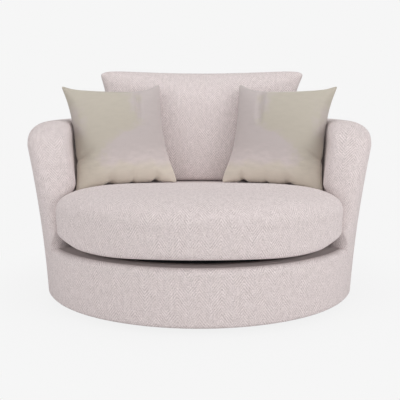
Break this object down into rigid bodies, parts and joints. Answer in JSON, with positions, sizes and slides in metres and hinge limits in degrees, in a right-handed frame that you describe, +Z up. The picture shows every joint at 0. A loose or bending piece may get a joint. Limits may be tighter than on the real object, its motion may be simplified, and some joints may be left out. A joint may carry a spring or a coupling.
{
  "type": "swivel cuddle chair",
  "caption": "Round upholstered swivel loveseat: drum base, wrap-around arms and back, loose seat, back and scatter cushions on a turning floor ring.",
  "frame": {"origin": "on the floor, under the middle of the overall bounding box, 26 mm behind the swivel axis", "axes": "+X to the right-hand side of the picture along the width, +Y from the front to the back, +Z up"},
  "size_m": [1.2994, 1.2499, 0.8568],
  "materials": {
    "weave": "matte",
    "velvet": "matte",
    "wadding": "matte",
    "foam": "matte",
    "fibre": "matte",
    "felt": "matte",
    "lining": "matte",
    "fibreboard": "matte",
    "timber": "matte",
    "spring_steel": "satin",
    "dark_steel": "satin",
    "zinc_steel": "satin",
    "cage_plastic": "satin",
    "glide_plastic": "satin"
  },
  "bodies": {
    "base": {"floor_ring": "dark_steel", "base_arm_1": "dark_steel", "base_arm_2": "dark_steel", "base_arm_3": "dark_steel", "base_arm_4": "dark_steel", "floor_glide_1": "glide_plastic", "floor_glide_2": "glide_plastic", "floor_glide_3": "glide_plastic", "floor_glide_4": "glide_plastic", "lower_swivel_plate": "zinc_steel", "pivot_bolt": "zinc_steel", "pivot_nut": "zinc_steel"},
    "ball_cage": {"ball_cage": "cage_plastic"},
    "chair": {"upper_swivel_plate": "zinc_steel", "swivel_bolt_1": "zinc_steel", "swivel_bolt_2": "zinc_steel", "swivel_bolt_3": "zinc_steel", "swivel_bolt_4": "zinc_steel", "swivel_board": "timber", "bottom_ring": "timber", "seat_ring": "timber", "front_rail": "timber", "top_rail": "timber", "back_rib_1": "timber", "back_rib_2": "timber", "back_rib_3": "timber", "back_rib_4": "timber", "back_rib_5": "timber", "front_rib_1": "timber", "front_rib_2": "timber", "front_rib_3": "timber", "arm_front_post_right": "timber", "arm_front_post_left": "timber", "outer_panel": "fibreboard", "inner_panel": "fibreboard", "front_panel": "fibreboard", "seat_spring_1": "spring_steel", "seat_spring_2": "spring_steel", "seat_spring_3": "spring_steel", "seat_spring_4": "spring_steel", "platform_felt": "felt", "platform_cloth": "lining", "dust_cover": "lining", "outside_cover": "weave", "inside_cover": "weave", "outer_wadding": "wadding", "inner_foam": "foam", "seat_cushion_cover": "weave", "seat_cushion_core": "foam", "back_cushion_cover": "weave", "back_cushion_core": "fibre", "scatter_cushion_left_cover": "velvet", "scatter_cushion_left_core": "fibre", "scatter_cushion_right_cover": "velvet", "scatter_cushion_right_core": "fibre"}
  },
  "joints": [
    {"name": "swivel", "type": "hinge", "parent": "base", "child": "chair", "pos_m": [0, -0.026, 0.035], "axis": [0, 0, 1], "continuous": true},
    {"name": "cage_roll", "type": "hinge", "parent": "base", "child": "ball_cage", "pos_m": [0, -0.026, 0.035], "axis": [0, 0, 1], "continuous": true}
  ],
  "couplings": [
    {"joint": "cage_roll", "follows": "swivel", "ratio": 0.5}
  ]
}
